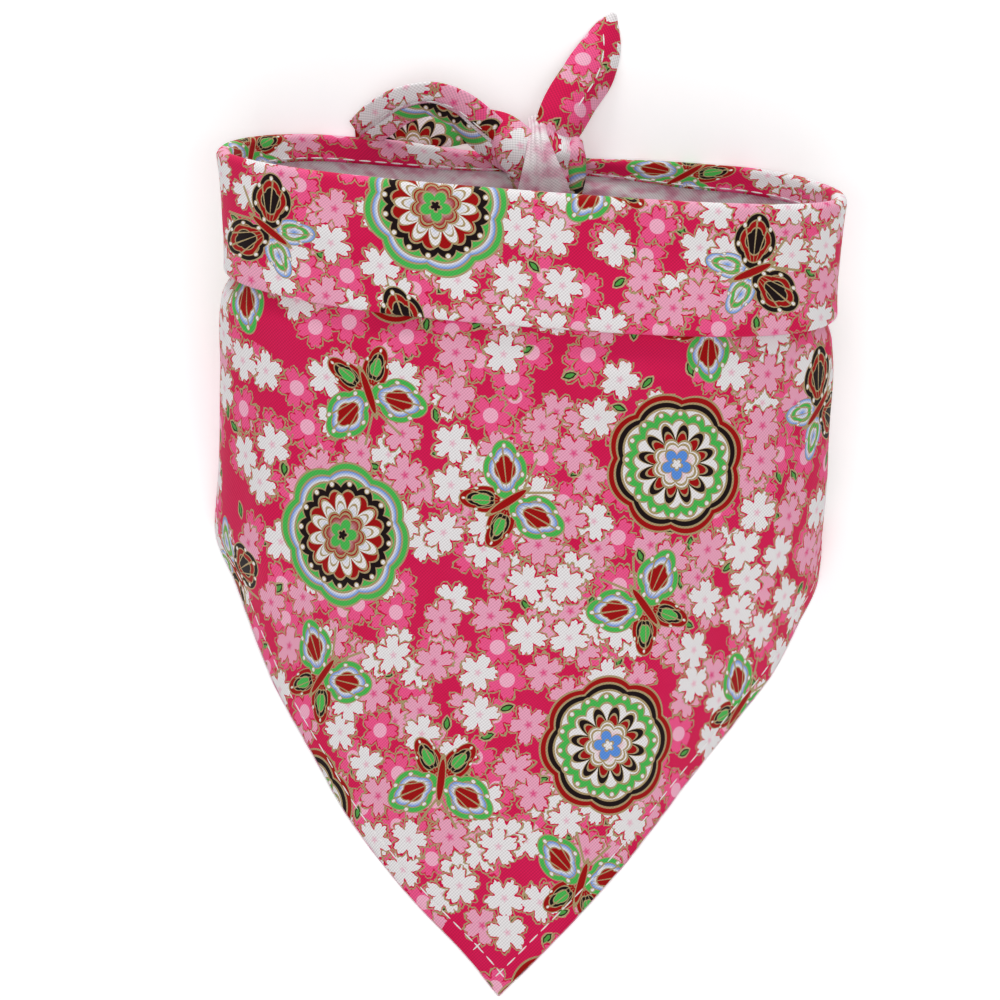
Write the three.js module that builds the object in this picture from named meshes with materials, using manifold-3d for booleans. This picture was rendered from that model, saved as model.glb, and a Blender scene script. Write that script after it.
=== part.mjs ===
// A triangular pet bandana of printed cotton, in millimetres. It is tied, still puffed open as round
// a neck, and lies on its back: the surface it lies on is z = 0, +Y runs from the bib's tip to the
// knot, and +Z is up through the front of the bib.
//
// The cloth is one triangle. Its long edge is turned in over the neck side, the cloth comes down as
// the cuff, goes back up under the cuff and comes down again as the bib, so the printed side shows
// everywhere. The two long corners meet behind the neck in one knot and end in two free ends.
import * as THREE from "three";
import { mergeVertices } from "three/addons/utils/BufferGeometryUtils.js";
import Module from "manifold-3d";

const SHEET = 1; // thickness of the cloth
const WRAP_SHEET = 2.4; // thickness of the cloth bunched round the knot
const PITCH = 1.4; // from the middle of one folded layer to the middle of the next
const COLUMNS = 40; // cells from one hem to the other
const LEAN = 0.077; // the rows of the cloth fall this much for each millimetre to the right
const TURN_UNDER = 1.05; // the side turns in under the back over this many times its height
const SLANT_POWER = 1.25; // how the loop's slant grows from the front to the back

// The level is the distance along the neck's axis on the front's centre line, before the slant.
const TIP_LEVEL = -148.6;
const CUFF_LOW = 54;
const CUFF_TOP = 90.5;

// Stretches of the cloth from the long edge to the tip: the levels each runs between, its distance
// from the neck side in layers at both ends, its rows of cells, and whether the two side hems bound it.
const STRETCHES = [
  { from: 82, to: 91, off: 0, offEnd: 0, rows: 2, hemmed: false }, // long edge, turned in
  { from: CUFF_TOP, to: CUFF_LOW, off: 3, offEnd: 3.9, rows: 6, hemmed: false }, // cuff
  { from: CUFF_LOW, to: 86, off: 2.1, offEnd: 2, rows: 4, hemmed: false }, // back up, hidden
  { from: 86, to: 53, off: 1, offEnd: 1, rows: 5, hemmed: true }, // bib behind the cuff
  { from: 53, to: 25, off: 1, offEnd: 0, rows: 3, hemmed: true }, // bib coming clear of the cuff
  { from: 25, to: TIP_LEVEL, off: 0, offEnd: 0, rows: 14, hemmed: true }, // bib
];
const TURN_ROWS = 4; // cells round each fold
const ARC_SAMPLES = 36; // along a section from the ridge to the widest place
const TURN_SAMPLES = 16; // round the turn under the back
const BACK_SPAN = 200; // straight run of the back, longer than any that is used

// Sections across the neck's axis. centre: middle of the width; half: half the width; crown: height
// of the front's ridge; sweep: degrees of arc from the ridge to the edge; side: height of the widest
// place above the back; under: how far the hem lies past the widest place; slant: how much nearer
// the knot the back lies than the front; stack: layers between the surface and the neck side.
const SECTIONS = [
  { level: -148.6, centre: -9.6, half: 1, crown: 0.8, sweep: 25, side: 0, under: 0, slant: 0, stack: 0 },
  { level: -138, centre: -9.2, half: 10.1, crown: 2.4, sweep: 30, side: 0, under: 0, slant: 0, stack: 0 },
  { level: -120, centre: -10.3, half: 27.3, crown: 6.8, sweep: 45, side: 0, under: 0, slant: 0, stack: 0 },
  { level: -100, centre: -10.5, half: 43.6, crown: 15.5, sweep: 56, side: 0, under: 0, slant: 0, stack: 0 },
  { level: -80, centre: -9.4, half: 56.7, crown: 26, sweep: 62, side: 0, under: 0, slant: 0, stack: 0 },
  { level: -60, centre: -7.6, half: 69.9, crown: 37.5, sweep: 66, side: 0, under: 0, slant: 0, stack: 0 },
  { level: -45, centre: -5.3, half: 78.4, crown: 46, sweep: 71, side: 0, under: 0, slant: 0, stack: 0 },
  { level: -32, centre: -4.4, half: 84.4, crown: 53, sweep: 79, side: 0, under: 0, slant: 1, stack: 0 },
  { level: -18, centre: -4.2, half: 90.9, crown: 59, sweep: 90, side: 0, under: 0, slant: 3, stack: 0 },
  { level: -6, centre: -2.8, half: 91.6, crown: 62.5, sweep: 90, side: 9, under: 13, slant: 7, stack: 0 },
  { level: 5, centre: -2.3, half: 91.5, crown: 65.5, sweep: 90, side: 18, under: 27, slant: 11, stack: 0 },
  { level: 25, centre: -1.6, half: 91.4, crown: 69, sweep: 90, side: 26, under: 52, slant: 18, stack: 0 },
  { level: 34, centre: -1.3, half: 91.2, crown: 70.5, sweep: 90, side: 28, under: 64, slant: 20, stack: 0 },
  { level: 45, centre: -0.6, half: 90, crown: 71, sweep: 90, side: 29, under: 78, slant: 22, stack: 3.8 },
  { level: 54, centre: 0.5, half: 86.4, crown: 69.5, sweep: 90, side: 29, under: 90, slant: 22, stack: 3.8 },
  { level: 98, centre: 0.5, half: 91.4, crown: 70, sweep: 90, side: 30, under: 150, slant: 12.5, stack: 2.7 },
];

// The knot, and how the back of the loop gathers into it over its last stretch.
const KNOT = { x: 4.5, y: 102, z: 9.5, wide: 27, deep: 29, high: 23 };
const FURROW = { depth: 0.06, count: 5, twist: 2 };
const GATHER = { run: 40, draw: 0.36, lift: 2.6, pleat: 2.4, pleatLength: 16, inside: 5 };

// Strips of cloth that leave or wrap the knot: the middle line, the width across it, the turn of
// the strip about that line in degrees, and how far its middle stands proud of its edges.
const WRAP = [
  { x: 0.5, y: 115.5, z: 5, width: 8, turn: 0, crown: 0.5 },
  { x: 1.5, y: 111, z: 15.5, width: 9, turn: 0, crown: 1 },
  { x: 3, y: 103, z: 21, width: 11, turn: 0, crown: 1.5 },
  { x: 4.5, y: 94, z: 18.5, width: 15, turn: 0, crown: 1.5 },
  { x: 5.5, y: 88, z: 9, width: 18, turn: 0, crown: 1 },
];
const RIGHT_END = [
  { x: 5.5, y: 104, z: 12, width: 10, turn: 0, crown: 2 },
  { x: 8.5, y: 114, z: 12, width: 13, turn: 0, crown: 3 },
  { x: 13, y: 124, z: 8, width: 14.5, turn: 0, crown: 3.5 },
  { x: 17.5, y: 133, z: 4.5, width: 13.5, turn: 0, crown: 3 },
  { x: 21.5, y: 140.5, z: 2, width: 9, turn: 0, crown: 1.2 },
  { x: 25, y: 148, z: 0.65, width: 1.5, turn: 0, crown: 0 },
];
const LEFT_END = [
  { x: -2, y: 103, z: 11, width: 10, turn: 0, crown: 2 },
  { x: -12.5, y: 111, z: 12, width: 10, turn: -15, crown: 2 },
  { x: -20, y: 119.5, z: 12, width: 11, turn: -25, crown: 1.5 },
  { x: -30, y: 122, z: 11, width: 12, turn: -30, crown: 1 },
  { x: -40.5, y: 119.5, z: 9, width: 12, turn: -20, crown: 1 },
  { x: -48.5, y: 115, z: 6, width: 10.5, turn: -10, crown: 0.5 },
];

const CLOTH = new THREE.MeshStandardMaterial({ color: 0xd9467c, roughness: 0.85, metalness: 0 });

const wasm = await Module();
wasm.setup();

const lerp = THREE.MathUtils.lerp;
const radians = THREE.MathUtils.degToRad;
const smooth = (share) => THREE.MathUtils.smoothstep(share, 0, 1);

// A smooth value of one column of a table between its rows, without overshoot.
function tableValue(rows, key, column, at) {
  const last = rows.length - 1;
  const slope = (i) => (rows[i + 1][column] - rows[i][column]) / (rows[i + 1][key] - rows[i][key]);
  const tangent = (i) => {
    if (i === 0) return slope(0);
    if (i === last) return slope(last - 1);
    const before = slope(i - 1);
    const after = slope(i);
    return before * after > 0 ? (2 * before * after) / (before + after) : 0;
  };
  let i = 0;
  while (i < last - 1 && at > rows[i + 1][key]) i += 1;
  const span = rows[i + 1][key] - rows[i][key];
  const f = Math.min(Math.max((at - rows[i][key]) / span, 0), 1);
  const straight = lerp(rows[i][column], rows[i + 1][column], f * f * (3 - 2 * f));
  return straight + span * f * (1 - f) * (tangent(i) * (1 - f) - tangent(i + 1) * f);
}

// The cloth's way from the long edge to the tip, as pieces with a length and a place along each.
function clothWay() {
  const pieces = [];
  STRETCHES.forEach((stretch, i) => {
    const rise = stretch.to - stretch.from;
    pieces.push({
      rows: stretch.rows,
      hemmed: stretch.hemmed,
      length: Math.abs(rise),
      at: (f) => [lerp(stretch.from, stretch.to, f), lerp(stretch.off, stretch.offEnd, f) * PITCH],
    });
    const next = STRETCHES[i + 1];
    if (!next || Math.sign(next.to - next.from) === Math.sign(rise)) return;
    const start = stretch.offEnd * PITCH;
    const end = next.off * PITCH;
    const radius = Math.abs(end - start) / 2;
    pieces.push({
      rows: TURN_ROWS,
      hemmed: false,
      length: Math.PI * radius,
      at: (f) => {
        const share = (1 - Math.cos(Math.PI * f)) / 2;
        const bulge = Math.sign(rise) * radius * Math.sin(Math.PI * f);
        return [lerp(stretch.to, next.from, share) + bulge, lerp(start, end, share)];
      },
    });
  });
  return pieces;
}

const WAY = clothWay();

// Level, distance from the neck side and hemmed sides at a length along the way.
function wayAt(length) {
  let rest = length;
  const piece = WAY.find((one, i) => {
    if (rest <= one.length || i === WAY.length - 1) return true;
    rest -= one.length;
    return false;
  });
  const [level, off] = piece.at(Math.min(rest / piece.length, 1));
  return { level, off, hemmed: piece.hemmed };
}

// Half a section as samples from the ridge round the side to the back, with the way along it.
function sectionAt(level) {
  const value = (column) => tableValue(SECTIONS, "level", column, level);
  const floor = SHEET / 2 + value("stack") * PITCH;
  const side = Math.max(value("side"), 0);
  const section = { centre: value("centre"), slant: value("slant"), floor, crown: value("crown") };
  const half = value("half");
  const sweep = radians(value("sweep"));
  const rise = (section.crown - floor - side) / (1 - Math.cos(sweep));
  const turn = side * TURN_UNDER;
  const samples = [];
  const add = (x, z, alongX, alongZ) => {
    const before = samples.at(-1);
    const way = before ? before.way + Math.hypot(x - before.x, z - before.z) : 0;
    const size = Math.hypot(alongX, alongZ);
    samples.push({ x, z, way, outX: -alongZ / size, outZ: alongX / size });
  };
  for (let i = 0; i <= ARC_SAMPLES; i++) {
    const angle = (sweep * i) / ARC_SAMPLES;
    const x = (half * Math.sin(angle)) / Math.sin(sweep);
    const z = floor + side + rise * (Math.cos(angle) - Math.cos(sweep));
    add(x, z, (half * Math.cos(angle)) / Math.sin(sweep), -rise * Math.sin(angle));
  }
  section.widest = samples.at(-1).way;
  section.hem = section.widest + Math.max(value("under"), 0);
  section.closed = side > 0;
  if (section.closed) {
    for (let i = 1; i <= TURN_SAMPLES; i++) {
      const angle = (Math.PI / 2) * (i / TURN_SAMPLES);
      const x = half - turn * (1 - Math.cos(angle));
      add(x, floor + side * (1 - Math.sin(angle)), -turn * Math.sin(angle), -side * Math.cos(angle));
    }
    add(samples.at(-1).x - BACK_SPAN, floor, -1, 0);
  }
  section.samples = samples;
  return section;
}

// Way along the section to the knot, on the right (side 1) or on the left (side -1).
function knotWay(section, side) {
  const flat = section.samples.at(-1);
  const knotX = side * (KNOT.x - section.centre) + KNOT.wide / 2 - GATHER.inside;
  return flat.way - (knotX - flat.x);
}

function sampleAt(samples, way) {
  let i = 0;
  while (i < samples.length - 2 && way > samples[i + 1].way) i += 1;
  const a = samples[i];
  const b = samples[i + 1];
  const f = (way - a.way) / (b.way - a.way);
  return {
    x: lerp(a.x, b.x, f),
    z: lerp(a.z, b.z, f),
    outX: lerp(a.outX, b.outX, Math.min(f, 1)),
    outZ: lerp(a.outZ, b.outZ, Math.min(f, 1)),
  };
}

// The middle of the cloth: across runs from -1 at the left hem to 1 at the right one, and length is
// the distance from the long edge along the cloth's way.
function clothPoint(across, length) {
  const { level, off, hemmed } = wayAt(length);
  const section = sectionAt(level);
  const side = across < 0 ? -1 : 1;
  const toKnot = section.closed ? knotWay(section, side) : Infinity;
  const reach = hemmed ? Math.min(section.hem, toKnot) : toKnot;
  const way = Math.abs(across) * reach;
  const place = sampleAt(section.samples, way);
  const x = section.centre + side * (place.x + off * place.outX);
  const depth = 1 - (place.z - section.floor) / (section.crown - section.floor);
  const y = level - LEAN * x + section.slant * Math.max(depth, 0) ** SLANT_POWER;
  const z = place.z + off * place.outZ;
  const gather = smooth(1 - (toKnot - way) / GATHER.run);
  const pleat = (1 + Math.cos((2 * Math.PI * (level - CUFF_TOP)) / GATHER.pleatLength)) / 2;
  const raised = gather * gather * (GATHER.lift + GATHER.pleat * pleat);
  return new THREE.Vector3(x, lerp(y, KNOT.y, GATHER.draw * gather), z + raised);
}

// A closed solid from a box one cell thick, whose two faces follow a middle surface.
function sheetSolid(columns, rows, thickness, middle) {
  const box = welded(new THREE.BoxGeometry(1, 1, 1, columns, rows, 1));
  mirrorCells(box);
  const place = box.getAttribute("position");
  const step = 1e-3;
  for (let i = 0; i < place.count; i++) {
    const u = place.getX(i) + 0.5;
    const v = 0.5 - place.getY(i);
    const along = middle(u, Math.min(v + step, 1)).sub(middle(u, Math.max(v - step, 0)));
    const over = middle(Math.min(u + step, 1), v).sub(middle(Math.max(u - step, 0), v));
    const out = along.cross(over).normalize();
    const point = middle(u, v).addScaledVector(out, place.getZ(i) * thickness);
    place.setXYZ(i, point.x, point.y, Math.max(point.z, 0));
  }
  return toSolid(box);
}

// The same shape with one vertex where several met.
function welded(geometry) {
  geometry.deleteAttribute("normal");
  geometry.deleteAttribute("uv");
  return mergeVertices(geometry, 1e-5);
}

// Splits the cells of a box's right half along their other diagonal, so that its halves mirror.
function mirrorCells(box) {
  const place = box.getAttribute("position");
  const cells = box.index.array;
  for (let i = 0; i < cells.length; i += 6) {
    const [a, b, d, , c] = cells.slice(i, i + 6);
    if (place.getX(a) + place.getX(c) > 0) cells.set([a, b, c, a, c, d], i);
  }
}

function toSolid(geometry) {
  return new wasm.Manifold(
    new wasm.Mesh({
      numProp: 3,
      vertProperties: geometry.getAttribute("position").array,
      triVerts: new Uint32Array(geometry.index.array),
    }),
  );
}

// The whole loop with its cuff and bib. Rows are spread as the stretches and folds ask.
function loopSolid() {
  const stops = [0];
  WAY.forEach((piece) => {
    const start = stops.at(-1);
    for (let i = 1; i <= piece.rows; i++) stops.push(start + (piece.length * i) / piece.rows);
  });
  const rows = stops.length - 1;
  const lengthAt = (v) => {
    const i = Math.min(Math.floor(v * rows + 1e-9), rows - 1);
    return lerp(stops[i], stops[i + 1], v * rows - i);
  };
  return sheetSolid(COLUMNS, rows, SHEET, (u, v) => clothPoint(2 * u - 1, lengthAt(v)));
}

// A strip of cloth along a table of places.
function stripSolid(table, columns, rows, thickness) {
  const rail = new THREE.CatmullRomCurve3(table.map((row) => new THREE.Vector3(row.x, row.y, row.z)));
  const stops = table.map((row, i) => ({ ...row, stop: i / (table.length - 1) }));
  const up = new THREE.Vector3(0, 0, 1);
  return sheetSolid(columns, rows, thickness, (u, v) => {
    const ahead = rail.getTangent(v);
    const value = (column) => tableValue(stops, "stop", column, v);
    const over = new THREE.Vector3().crossVectors(ahead, up).normalize();
    over.applyAxisAngle(ahead, radians(value("turn")));
    const out = new THREE.Vector3().crossVectors(over, ahead).normalize();
    const share = 2 * u - 1;
    return rail
      .getPoint(v)
      .addScaledVector(over, (share * value("width")) / 2)
      .addScaledVector(out, value("crown") * (0.5 - share * share));
  });
}

// The body of the knot: a rounded lump with soft furrows, flat where it lies on the surface.
function knotSolid() {
  const ball = welded(new THREE.SphereGeometry(1, 20, 14));
  const place = ball.getAttribute("position");
  for (let i = 0; i < place.count; i++) {
    const [x, y, z] = [place.getX(i), place.getY(i), place.getZ(i)];
    const wave = Math.cos(FURROW.count * Math.atan2(z, y) + FURROW.twist * x);
    const furrow = 1 - FURROW.depth * (1 + wave);
    place.setXYZ(
      i,
      KNOT.x + (x * furrow * KNOT.wide) / 2,
      KNOT.y + (y * furrow * KNOT.deep) / 2,
      Math.max(KNOT.z + (z * furrow * KNOT.high) / 2, 0),
    );
  }
  return toSolid(ball);
}

function bandanaGeometry() {
  const whole = [
    loopSolid(),
    knotSolid(),
    stripSolid(WRAP, 4, 8, WRAP_SHEET),
    stripSolid(RIGHT_END, 4, 12, SHEET),
    stripSolid(LEFT_END, 4, 12, SHEET),
  ].reduce((all, piece) => all.add(piece));
  const outside = whole.decompose().find((body) => body.volume() > 0); // closes pockets in the knot
  const { numProp, vertProperties, triVerts } = outside.getMesh();
  const geometry = new THREE.BufferGeometry();
  const data = new THREE.InterleavedBuffer(vertProperties, numProp);
  geometry.setAttribute("position", new THREE.InterleavedBufferAttribute(data, 3, 0));
  geometry.setIndex(new THREE.BufferAttribute(triVerts, 1));
  return geometry.toNonIndexed();
}

const bandana = new THREE.Group();
const cloth = new THREE.Mesh(bandanaGeometry(), CLOTH);
cloth.name = "bandana";
bandana.add(cloth);

export default bandana;
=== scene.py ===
# %% [markdown]
# # A tied pet bandana of printed cotton
# The real thing is one triangle of thin cotton. Its long edge is turned in, folded over as a cuff
# and tied behind the neck, and the rest hangs down in front as a bib. It lies on its back here,
# still puffed open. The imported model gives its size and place, and every piece below keeps to it.

# %% Load the frame
import math

import bmesh
import bpy
import numpy as np
from mathutils import Matrix, Vector, noise


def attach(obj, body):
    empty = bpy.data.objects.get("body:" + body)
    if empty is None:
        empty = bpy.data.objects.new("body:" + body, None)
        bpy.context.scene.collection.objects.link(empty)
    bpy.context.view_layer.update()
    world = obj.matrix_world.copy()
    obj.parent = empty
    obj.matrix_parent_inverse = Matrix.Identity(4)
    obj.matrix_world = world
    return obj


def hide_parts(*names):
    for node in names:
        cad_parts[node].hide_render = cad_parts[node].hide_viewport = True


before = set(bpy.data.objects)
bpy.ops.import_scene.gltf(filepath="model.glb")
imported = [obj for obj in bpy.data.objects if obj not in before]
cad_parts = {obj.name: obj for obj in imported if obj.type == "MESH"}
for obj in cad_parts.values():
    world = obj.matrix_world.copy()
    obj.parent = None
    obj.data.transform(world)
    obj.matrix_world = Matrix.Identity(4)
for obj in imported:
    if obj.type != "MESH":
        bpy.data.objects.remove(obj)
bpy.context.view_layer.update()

MM = 0.001

# %% [markdown]
# ## The camera
# The bandana was photographed from straight above with a long lens, so the camera looks down from
# four metres, and 300 mm of cloth fill the picture. It comes first, so that each later piece can be
# judged in the same view.

# %% Camera
VIEW_WIDTH = 300 * MM
VIEW_CENTRE = Vector((-9.3, 1.35, 25)) * MM
CAMERA_HEIGHT = 4.0

camera_data = bpy.data.cameras.new("camera")
camera_data.lens = camera_data.sensor_width * CAMERA_HEIGHT / VIEW_WIDTH
camera_data.clip_end = 20
camera = bpy.data.objects.new("camera", camera_data)
camera.location = VIEW_CENTRE + Vector((0, 0, CAMERA_HEIGHT))
bpy.context.scene.collection.objects.link(camera)
bpy.context.scene.camera = camera
print("lens in mm:", round(camera_data.lens))

# %% [markdown]
# ## One function for nodes
# Every finish is a small network of nodes. One function adds a node, sets what is named and feeds
# its sockets, so that the lines below read as the recipe of the print.


# %% Nodes and colours
def linear(hex_colour):
    """An sRGB colour such as "#D91E5A" as linear red, green, blue and alpha."""
    shares = [int(hex_colour[i : i + 2], 16) / 255 for i in (1, 3, 5)]
    return [s / 12.92 if s <= 0.04045 else ((s + 0.055) / 1.055) ** 2.4 for s in shares] + [1]


def add(tree, kind, *values, sockets=None, stops=(), **settings):
    """Adds a node, with its settings and links, and returns its first output.

    A kind such as "Math ADD" names the node's operation too. The values feed the open sockets in
    order and the named sockets by name. Each is a plain value or another node's output. Stops are
    the places and colours of a colour ramp.
    """
    kind, _, operation = kind.partition(" ")
    made = tree.nodes.new("ShaderNode" + kind)
    if operation:
        settings["operation"] = operation
    for name, value in settings.items():
        setattr(made, name, value)
    if stops:
        elements = made.color_ramp.elements
        while len(elements) < len(stops):
            elements.new(1)
        for element, (place, colour) in zip(elements, stops):
            element.position = place
            if isinstance(colour, str):
                colour = linear(colour)
            element.color = colour if isinstance(colour, list) else (colour,) * 3 + (1,)
    open_sockets = [socket for socket in made.inputs if socket.enabled]
    named = [(made.inputs[name], value) for name, value in (sockets or {}).items()]
    for socket, value in [*zip(open_sockets, values), *named]:
        if isinstance(value, bpy.types.NodeSocket):
            tree.links.new(value, socket)
        elif value is not None:
            socket.default_value = value
    return next((socket for socket in made.outputs if socket.enabled), made)


# %% [markdown]
# ## The print
# The cotton is screen printed: a crimson ground, drifts of five-petalled blossoms in three tones
# that overlap, small leaves, and now and then a rosette or a butterfly, all with fine lines of gold
# ink. Painting a picture would be the usual way. Here each blossom is a shape worked out from its
# distance and angle to a scattered centre, so the print stays sharp at any size. It reads the
# cloth's own map, whose unit is one millimetre of cloth, and so it bends with every fold.

# %% Colours of the inks
CRIMSON = "#DC0A4C"
CRIMSON_LIGHT = "#E21C5C"
GOLD = "#C2AC80"
WHITE_INK = "#F5F1F2"
DOT_PINK = "#FFB9D2"
ROSE = "#F6ABC6"
PINK = "#FA5A92"
DEEP_PINK = "#EC4A8A"
RED = "#A80204"
BLUE = "#5F97EA"
GREEN = "#4CC055"
BLACK = "#170508"
LEAF = "#55A84A"
LEAF_DARK = "#2A2412"

PETALS = 5
# Half a petal, from its notched middle to the gap beside it: the reach of its ink, as a share of
# the radius, and the reach of the gold line round it, at its inner and outer side.
PETAL_OUTLINE = [
    (0, 0.83), (0.07, 0.96), (0.16, 1), (0.21, 0.9), (0.31, 0.86), (0.37, 0.68), (0.5, 0.47)
]
LINE_INNER = [
    (0, 0.9), (0.06, 1.01), (0.17, 1.06), (0.23, 0.97), (0.32, 0.93), (0.39, 0.76), (0.5, 0.6)
]
LINE_OUTER = [
    (0, 0.98), (0.07, 1.09), (0.2, 1.14), (0.26, 1.05), (0.35, 1.01), (0.42, 0.84), (0.5, 0.69)
]
# Ink spreads along the threads, so its edge is jagged, and the gold screen sits a little off.
JAG_SIZE = 1.2
JAG = 0.22
WANDER_SIZE = 2.6
WANDER = 0.34
MOTTLE_SIZE = 20

# %% Layers and tones of the blossoms
# Layers of blossoms, lowest first: mean distance between blossoms, turn and shift of the layer,
# radius of a blossom, share of the places that bloom, size of the patches in which they gather,
# and the two tones of its blossoms with the share of them in the second.
BLOSSOM_LAYERS = [
    (13.2, 0.3, (3.1, 7.7), 5.9, 0.62, 42, ("pink", "rose", 0.3)),
    (13.0, 1.1, (9.4, 1.3), 5.8, 0.5, 38, ("rose", "pink", 0.4)),
    (13.6, 2.0, (5.8, 4.2), 5.9, 0.5, 34, ("white", "pink", 0.4)),
    (13.2, 0.7, (2.6, 8.9), 5.8, 0.46, 40, ("rose", "white", 0.35)),
    (13.4, 1.6, (7.3, 3.5), 6.0, 0.5, 36, ("white", "rose", 0.3)),
]
BLOSSOM_SPREAD = 0.36  # how far a blossom strays from an even grid, as a share
PATCH_EDGE = 0.35  # how ragged the patches are: the part that chance has in who blooms
BARE_SCORE = 1.2  # no place scores this high, so a share of 0 leaves the cloth bare
HEART_STAR = 0.22  # how much the heart of a blossom is drawn out into a star
TONES = {
    "pink": [(0, DOT_PINK), (0.37, DOT_PINK), (0.4, PINK), (1, PINK)],
    "rose": [(0, DEEP_PINK), (0.09, DEEP_PINK), (0.3, ROSE), (1, ROSE)],
    "white": [(0, "#F3A8C4"), (0.08, "#F6C0D2"), (0.27, WHITE_INK), (1, WHITE_INK)],
}
print("layers of blossoms:", len(BLOSSOM_LAYERS), "in tones:", *TONES)


# %% Laying one ink over another
def polar(tree, local):
    """Distance and angle, in turns, of a place from the middle of a shape."""
    parts = add(tree, "SeparateXYZ", local).node.outputs
    angle = add(tree, "Math ARCTAN2", parts["Y"], parts["X"])
    turns = add(tree, "Math MULTIPLY", angle, 1 / math.tau)
    return add(tree, "VectorMath LENGTH", local).node.outputs["Value"], turns


def noise_at(tree, place, scale, detail=2):
    """Soft noise over the cloth, about 0.5 on average."""
    sockets = {"Scale": scale, "Detail": detail}
    return add(tree, "TexNoise", place, sockets=sockets, noise_dimensions="2D")


def blend(tree, share, one, other, **settings):
    """One colour mixed with another by a share."""
    return add(tree, "Mix", share, one, other, data_type="RGBA", **settings)


def lay_ink(tree, inks, mask, colour):
    """Prints a colour where the mask is 1. Inks are the cloth's colour and its share of gold."""
    cloth, gold = inks
    cloth = blend(tree, mask, cloth, colour)
    bare = add(tree, "Math SUBTRACT", 1, mask)
    return cloth, add(tree, "Math MULTIPLY", gold, bare)


def lay_gold(tree, inks, line):
    """Prints gold ink where the line is 1."""
    cloth, gold = inks
    return blend(tree, line, cloth, linear(GOLD)), add(tree, "Math MAXIMUM", gold, line)


def scattered(tree, place, pitch, turn, shift, spread):
    """The spot, its nearest scattered centre, and three numbers by chance for that centre."""
    spot = add(tree, "Mapping", place, (*shift, 0), (0, 0, turn), (1 / pitch,) * 3)
    scale = {"Scale": 1, "Randomness": spread}
    cell = add(tree, "TexVoronoi", spot, sockets=scale, voronoi_dimensions="2D").node.outputs
    return spot, cell["Position"], add(tree, "SeparateColor", cell["Color"]).node.outputs


# %% Blossoms
def lay_blossoms(tree, inks, place, jag, wander, layer):
    """Prints one layer of blossoms, each whole, at scattered centres."""
    pitch, turn, shift, radius, kept, patch, tones = layer
    spot, centre, chance = scattered(tree, place, pitch, turn, shift, BLOSSOM_SPREAD)
    local = add(tree, "VectorMath SUBTRACT", spot, centre)
    local = add(tree, "VectorMath SCALE", local, sockets={"Scale": pitch / radius})
    distance, turns = polar(tree, local)
    petal = add(tree, "Math MULTIPLY_ADD", turns, PETALS, chance["Red"])
    petal = add(tree, "Math PINGPONG", petal, 0.5)
    outline = add(tree, "ValToRGB", petal, stops=PETAL_OUTLINE)
    inner, outer = (add(tree, "ValToRGB", petal, stops=way) for way in (LINE_INNER, LINE_OUTER))
    drift = noise_at(tree, centre, pitch / patch, 0)
    score = add(tree, "Math MULTIPLY_ADD", chance["Green"], PATCH_EDGE, drift)
    blooms = add(tree, "Math GREATER_THAN", score, BARE_SCORE - kept)
    strayed = add(tree, "Math ADD", distance, wander)
    around = add(tree, "Math LESS_THAN", strayed, outer)
    around = add(tree, "Math MULTIPLY", around, blooms)
    clear = add(tree, "Math GREATER_THAN", strayed, inner)
    line = add(tree, "Math MULTIPLY", around, clear)
    torn = add(tree, "Math ADD", distance, jag)
    inside = add(tree, "Math LESS_THAN", torn, outline)
    mask = add(tree, "Math MULTIPLY", inside, blooms)
    star = add(tree, "Math MULTIPLY_ADD", petal, HEART_STAR, distance)
    other = add(tree, "Math LESS_THAN", chance["Blue"], tones[2])
    both = [
        add(tree, "ValToRGB", distance if tone == "pink" else star, stops=TONES[tone])
        for tone in tones[:2]
    ]
    tone = blend(tree, other, *both)
    inks = lay_gold(tree, lay_ink(tree, inks, around, linear(CRIMSON)), line)
    return lay_ink(tree, inks, mask, tone)


# %% Leaves
LEAF_PITCH, LEAF_LENGTH, LEAF_WIDTH = 10.5, 2.7, 1.6
LEAVES_KEPT, LEAF_SPREAD, LEAF_TURN, LEAF_SHIFT = 0.5, 0.8, 0.5, (4.4, 2.2)
LEAF_TONES = [(0, LEAF), (0.3, LEAF), (0.42, LEAF_DARK), (0.62, LEAF_DARK), (0.66, GOLD), (1, GOLD)]


def lay_leaves(tree, inks, place, jag):
    """Prints almond-shaped leaves that point every way, green with a dark and then a gold edge."""
    spot, centre, chance = scattered(tree, place, LEAF_PITCH, LEAF_TURN, LEAF_SHIFT, LEAF_SPREAD)
    local = add(tree, "VectorMath SUBTRACT", spot, centre)
    angle = add(tree, "Math MULTIPLY", chance["Red"], math.tau)
    local = add(tree, "VectorRotate", local, sockets={"Angle": angle}, rotation_type="Z_AXIS")
    sides = (LEAF_PITCH / LEAF_LENGTH, LEAF_PITCH / LEAF_WIDTH, 0)
    local = add(tree, "VectorMath MULTIPLY", local, sides)
    parts = add(tree, "SeparateXYZ", local).node.outputs
    along = add(tree, "Math POWER", parts["X"], 2)
    across = add(tree, "Math ABSOLUTE", parts["Y"])
    reach = add(tree, "Math ADD", along, across)
    reach = add(tree, "Math ADD", reach, jag)
    grows = add(tree, "Math LESS_THAN", chance["Green"], LEAVES_KEPT)
    inside = add(tree, "Math LESS_THAN", reach, 1)
    mask = add(tree, "Math MULTIPLY", inside, grows)
    return lay_ink(tree, inks, mask, add(tree, "ValToRGB", reach, stops=LEAF_TONES))


# %% [markdown]
# ## Rosettes and butterflies
# The larger motifs are plain, traditional ones. A rosette is a stack of wavy discs, printed from
# the widest to the smallest, and each disc is banded like a target, with a gold line round every
# band. A butterfly is the same trick in two wings on each side of its body. They repeat like yard
# goods, each column a part of a repeat lower than the last, and each is turned its own way.

# %% Rosettes and wings as stacks of discs
ROSETTE_RADIUS = 21.5
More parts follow.
